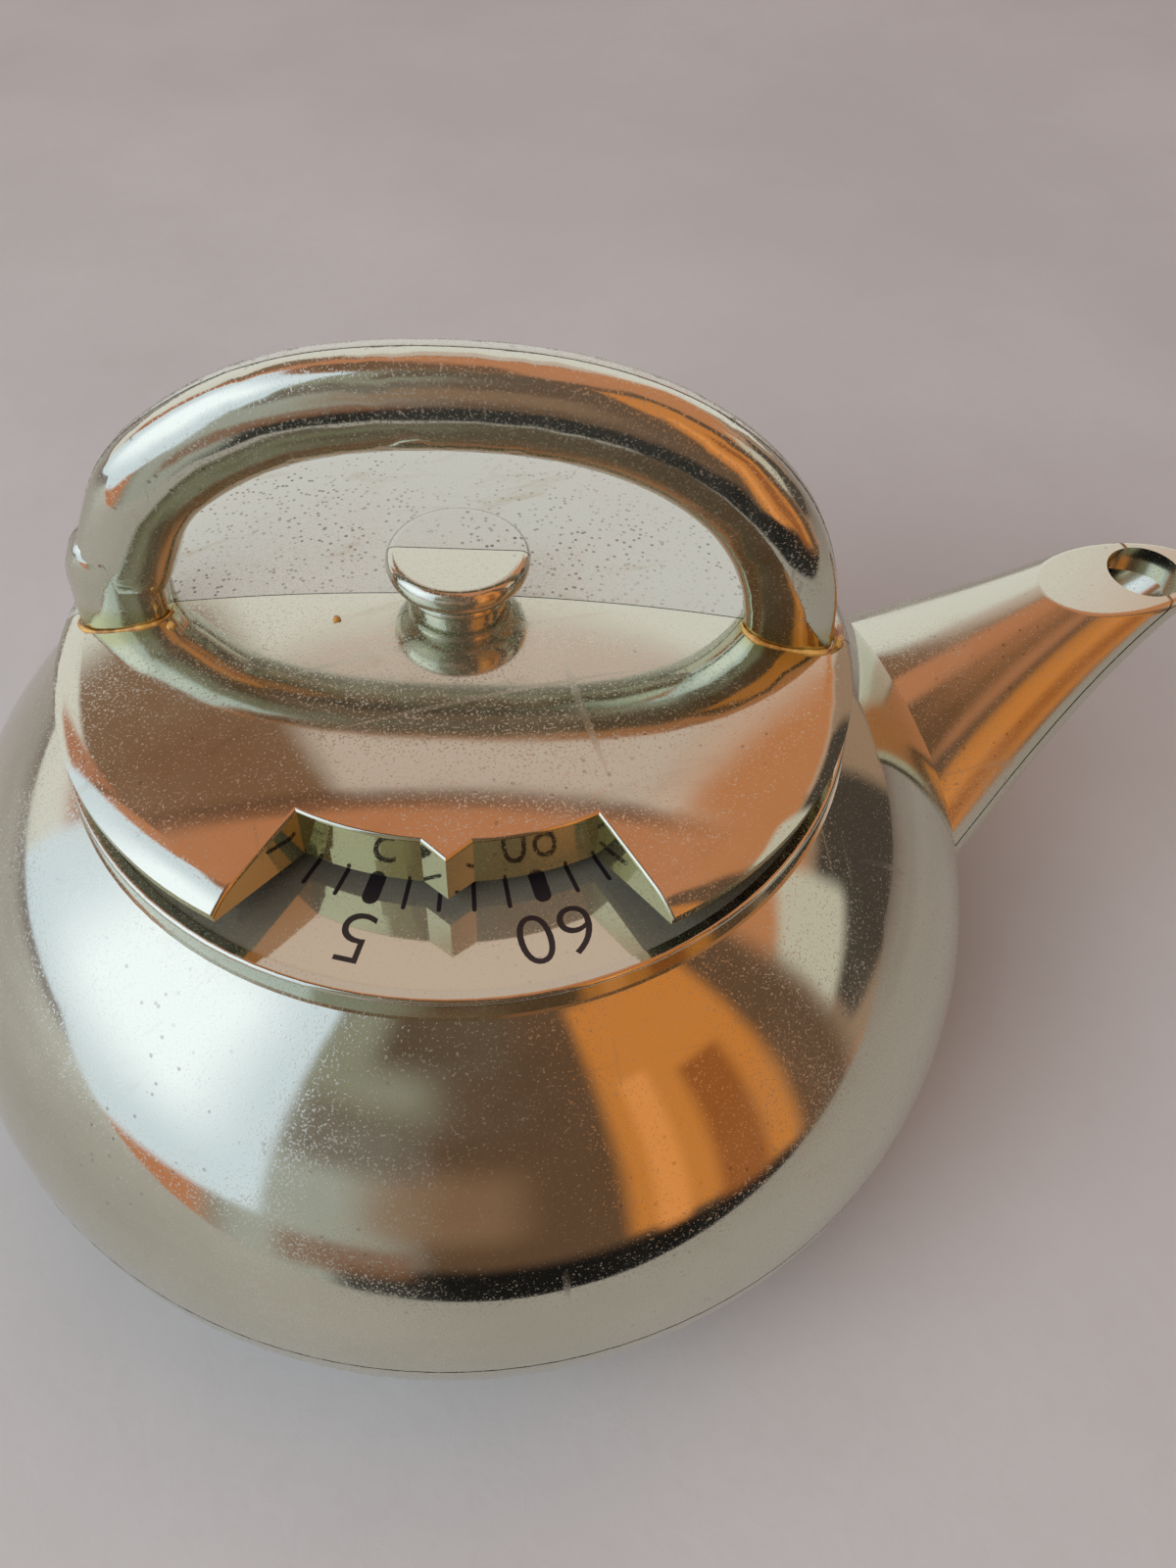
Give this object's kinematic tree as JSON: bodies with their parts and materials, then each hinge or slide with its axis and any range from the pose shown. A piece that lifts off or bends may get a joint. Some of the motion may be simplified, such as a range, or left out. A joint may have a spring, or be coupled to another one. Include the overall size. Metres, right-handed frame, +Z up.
{
  "type": "kitchen timer",
  "caption": "Kettle-shaped wind-up kitchen timer: round body with spout, fixed minute dial, and a turning lid with arched handle, knob and pointer window.",
  "frame": {"origin": "on the lid's turning axis, on the surface that the timer stands on", "axes": "+Z up along the turning axis, +X along the spout, and the dial's 60 mark faces -Y"},
  "size_m": [0.1158, 0.09, 0.0743],
  "materials": {
    "chrome_shell": "bright chrome plating on moulded plastic, slightly yellowed and finely pitted",
    "chrome_lid": "bright chrome plating on moulded plastic, hazed and scratched",
    "dial": "mirror-plated disc with a black printed minute scale",
    "base_black": "satin moulded plastic",
    "feet_rubber": "matt",
    "steel": "zinc-plated, satin",
    "bell_steel": "nickel-plated, bright",
    "brass": "machined",
    "spring_steel": "blued spring steel",
    "hub_plastic": "natural acetal"
  },
  "bodies": {
    "case": {"upper_shell": "chrome_shell", "lower_shell": "chrome_shell", "base_cover": "base_black", "rubber_feet": "feet_rubber", "case_screws": "steel", "dial_plate": "dial", "thrust_washer": "hub_plastic", "top_plate": "steel", "bottom_plate": "steel", "plate_pillars": "brass", "pillar_screws": "steel", "movement_screws": "steel", "mainspring": "spring_steel", "spring_post": "steel", "bell": "bell_steel", "bell_post": "steel", "bell_screw": "steel", "hammer_spring": "spring_steel"},
    "lid": {"lid_front_half": "chrome_lid", "lid_rear_half": "chrome_lid", "drive_hub": "hub_plastic", "main_arbor": "steel", "main_wheel": "brass", "ratchet_wheel": "steel", "click": "steel", "trip_cam": "steel"},
    "second_wheel_set": {"second_arbor": "steel", "second_wheel": "brass"},
    "third_wheel_set": {"third_arbor": "steel", "third_wheel": "brass"},
    "escape_wheel_set": {"escape_arbor": "steel", "escape_wheel": "hub_plastic"},
    "balance": {"balance_arbor": "steel", "balance_wheel": "hub_plastic", "pallet_anchor": "steel"},
    "hammer": {"hammer_arbor": "steel", "hammer_arm": "steel", "hammer_head": "steel", "trip_lever": "steel"}
  },
  "joints": [
    {"name": "lid_turn", "type": "hinge", "parent": "case", "child": "lid", "pos_m": [0, 0, 0.04615], "axis": [0, 0, -1], "range_deg": [-16.2, 343.8]},
    {"name": "second_wheel_spin", "type": "hinge", "parent": "case", "child": "second_wheel_set", "pos_m": [-0.01645, -0.00598, 0.0342], "axis": [0, 0, -1], "range_deg": [-2063.8, 98.2]},
    {"name": "third_wheel_spin", "type": "hinge", "parent": "case", "child": "third_wheel_set", "pos_m": [-0.00947, -0.01423, 0.0388], "axis": [0, 0, -1], "range_deg": [-487, 10315]},
    {"name": "escape_wheel_spin", "type": "hinge", "parent": "case", "child": "escape_wheel_set", "pos_m": [-0.00015, -0.01785, 0.0298], "axis": [0, 0, -1], "range_deg": [-41257, 1945]},
    {"name": "balance_swing", "type": "hinge", "parent": "case", "child": "balance", "pos_m": [0.00923, -0.01725, 0.0354], "axis": [0, 0, 1], "range_deg": [-5, 5]},
    {"name": "hammer_lift", "type": "hinge", "parent": "case", "child": "hammer", "pos_m": [0.0155, 0.0085, 0.024], "axis": [0, 0, -1], "range_deg": [0, 14], "stiffness_Nm_per_rad": 0.002, "springref_deg": -5.73}
  ],
  "couplings": [
    {"joint": "second_wheel_spin", "follows": "lid_turn", "ratio": -6},
    {"joint": "third_wheel_spin", "follows": "lid_turn", "ratio": 30},
    {"joint": "escape_wheel_spin", "follows": "lid_turn", "ratio": -120}
  ]
}
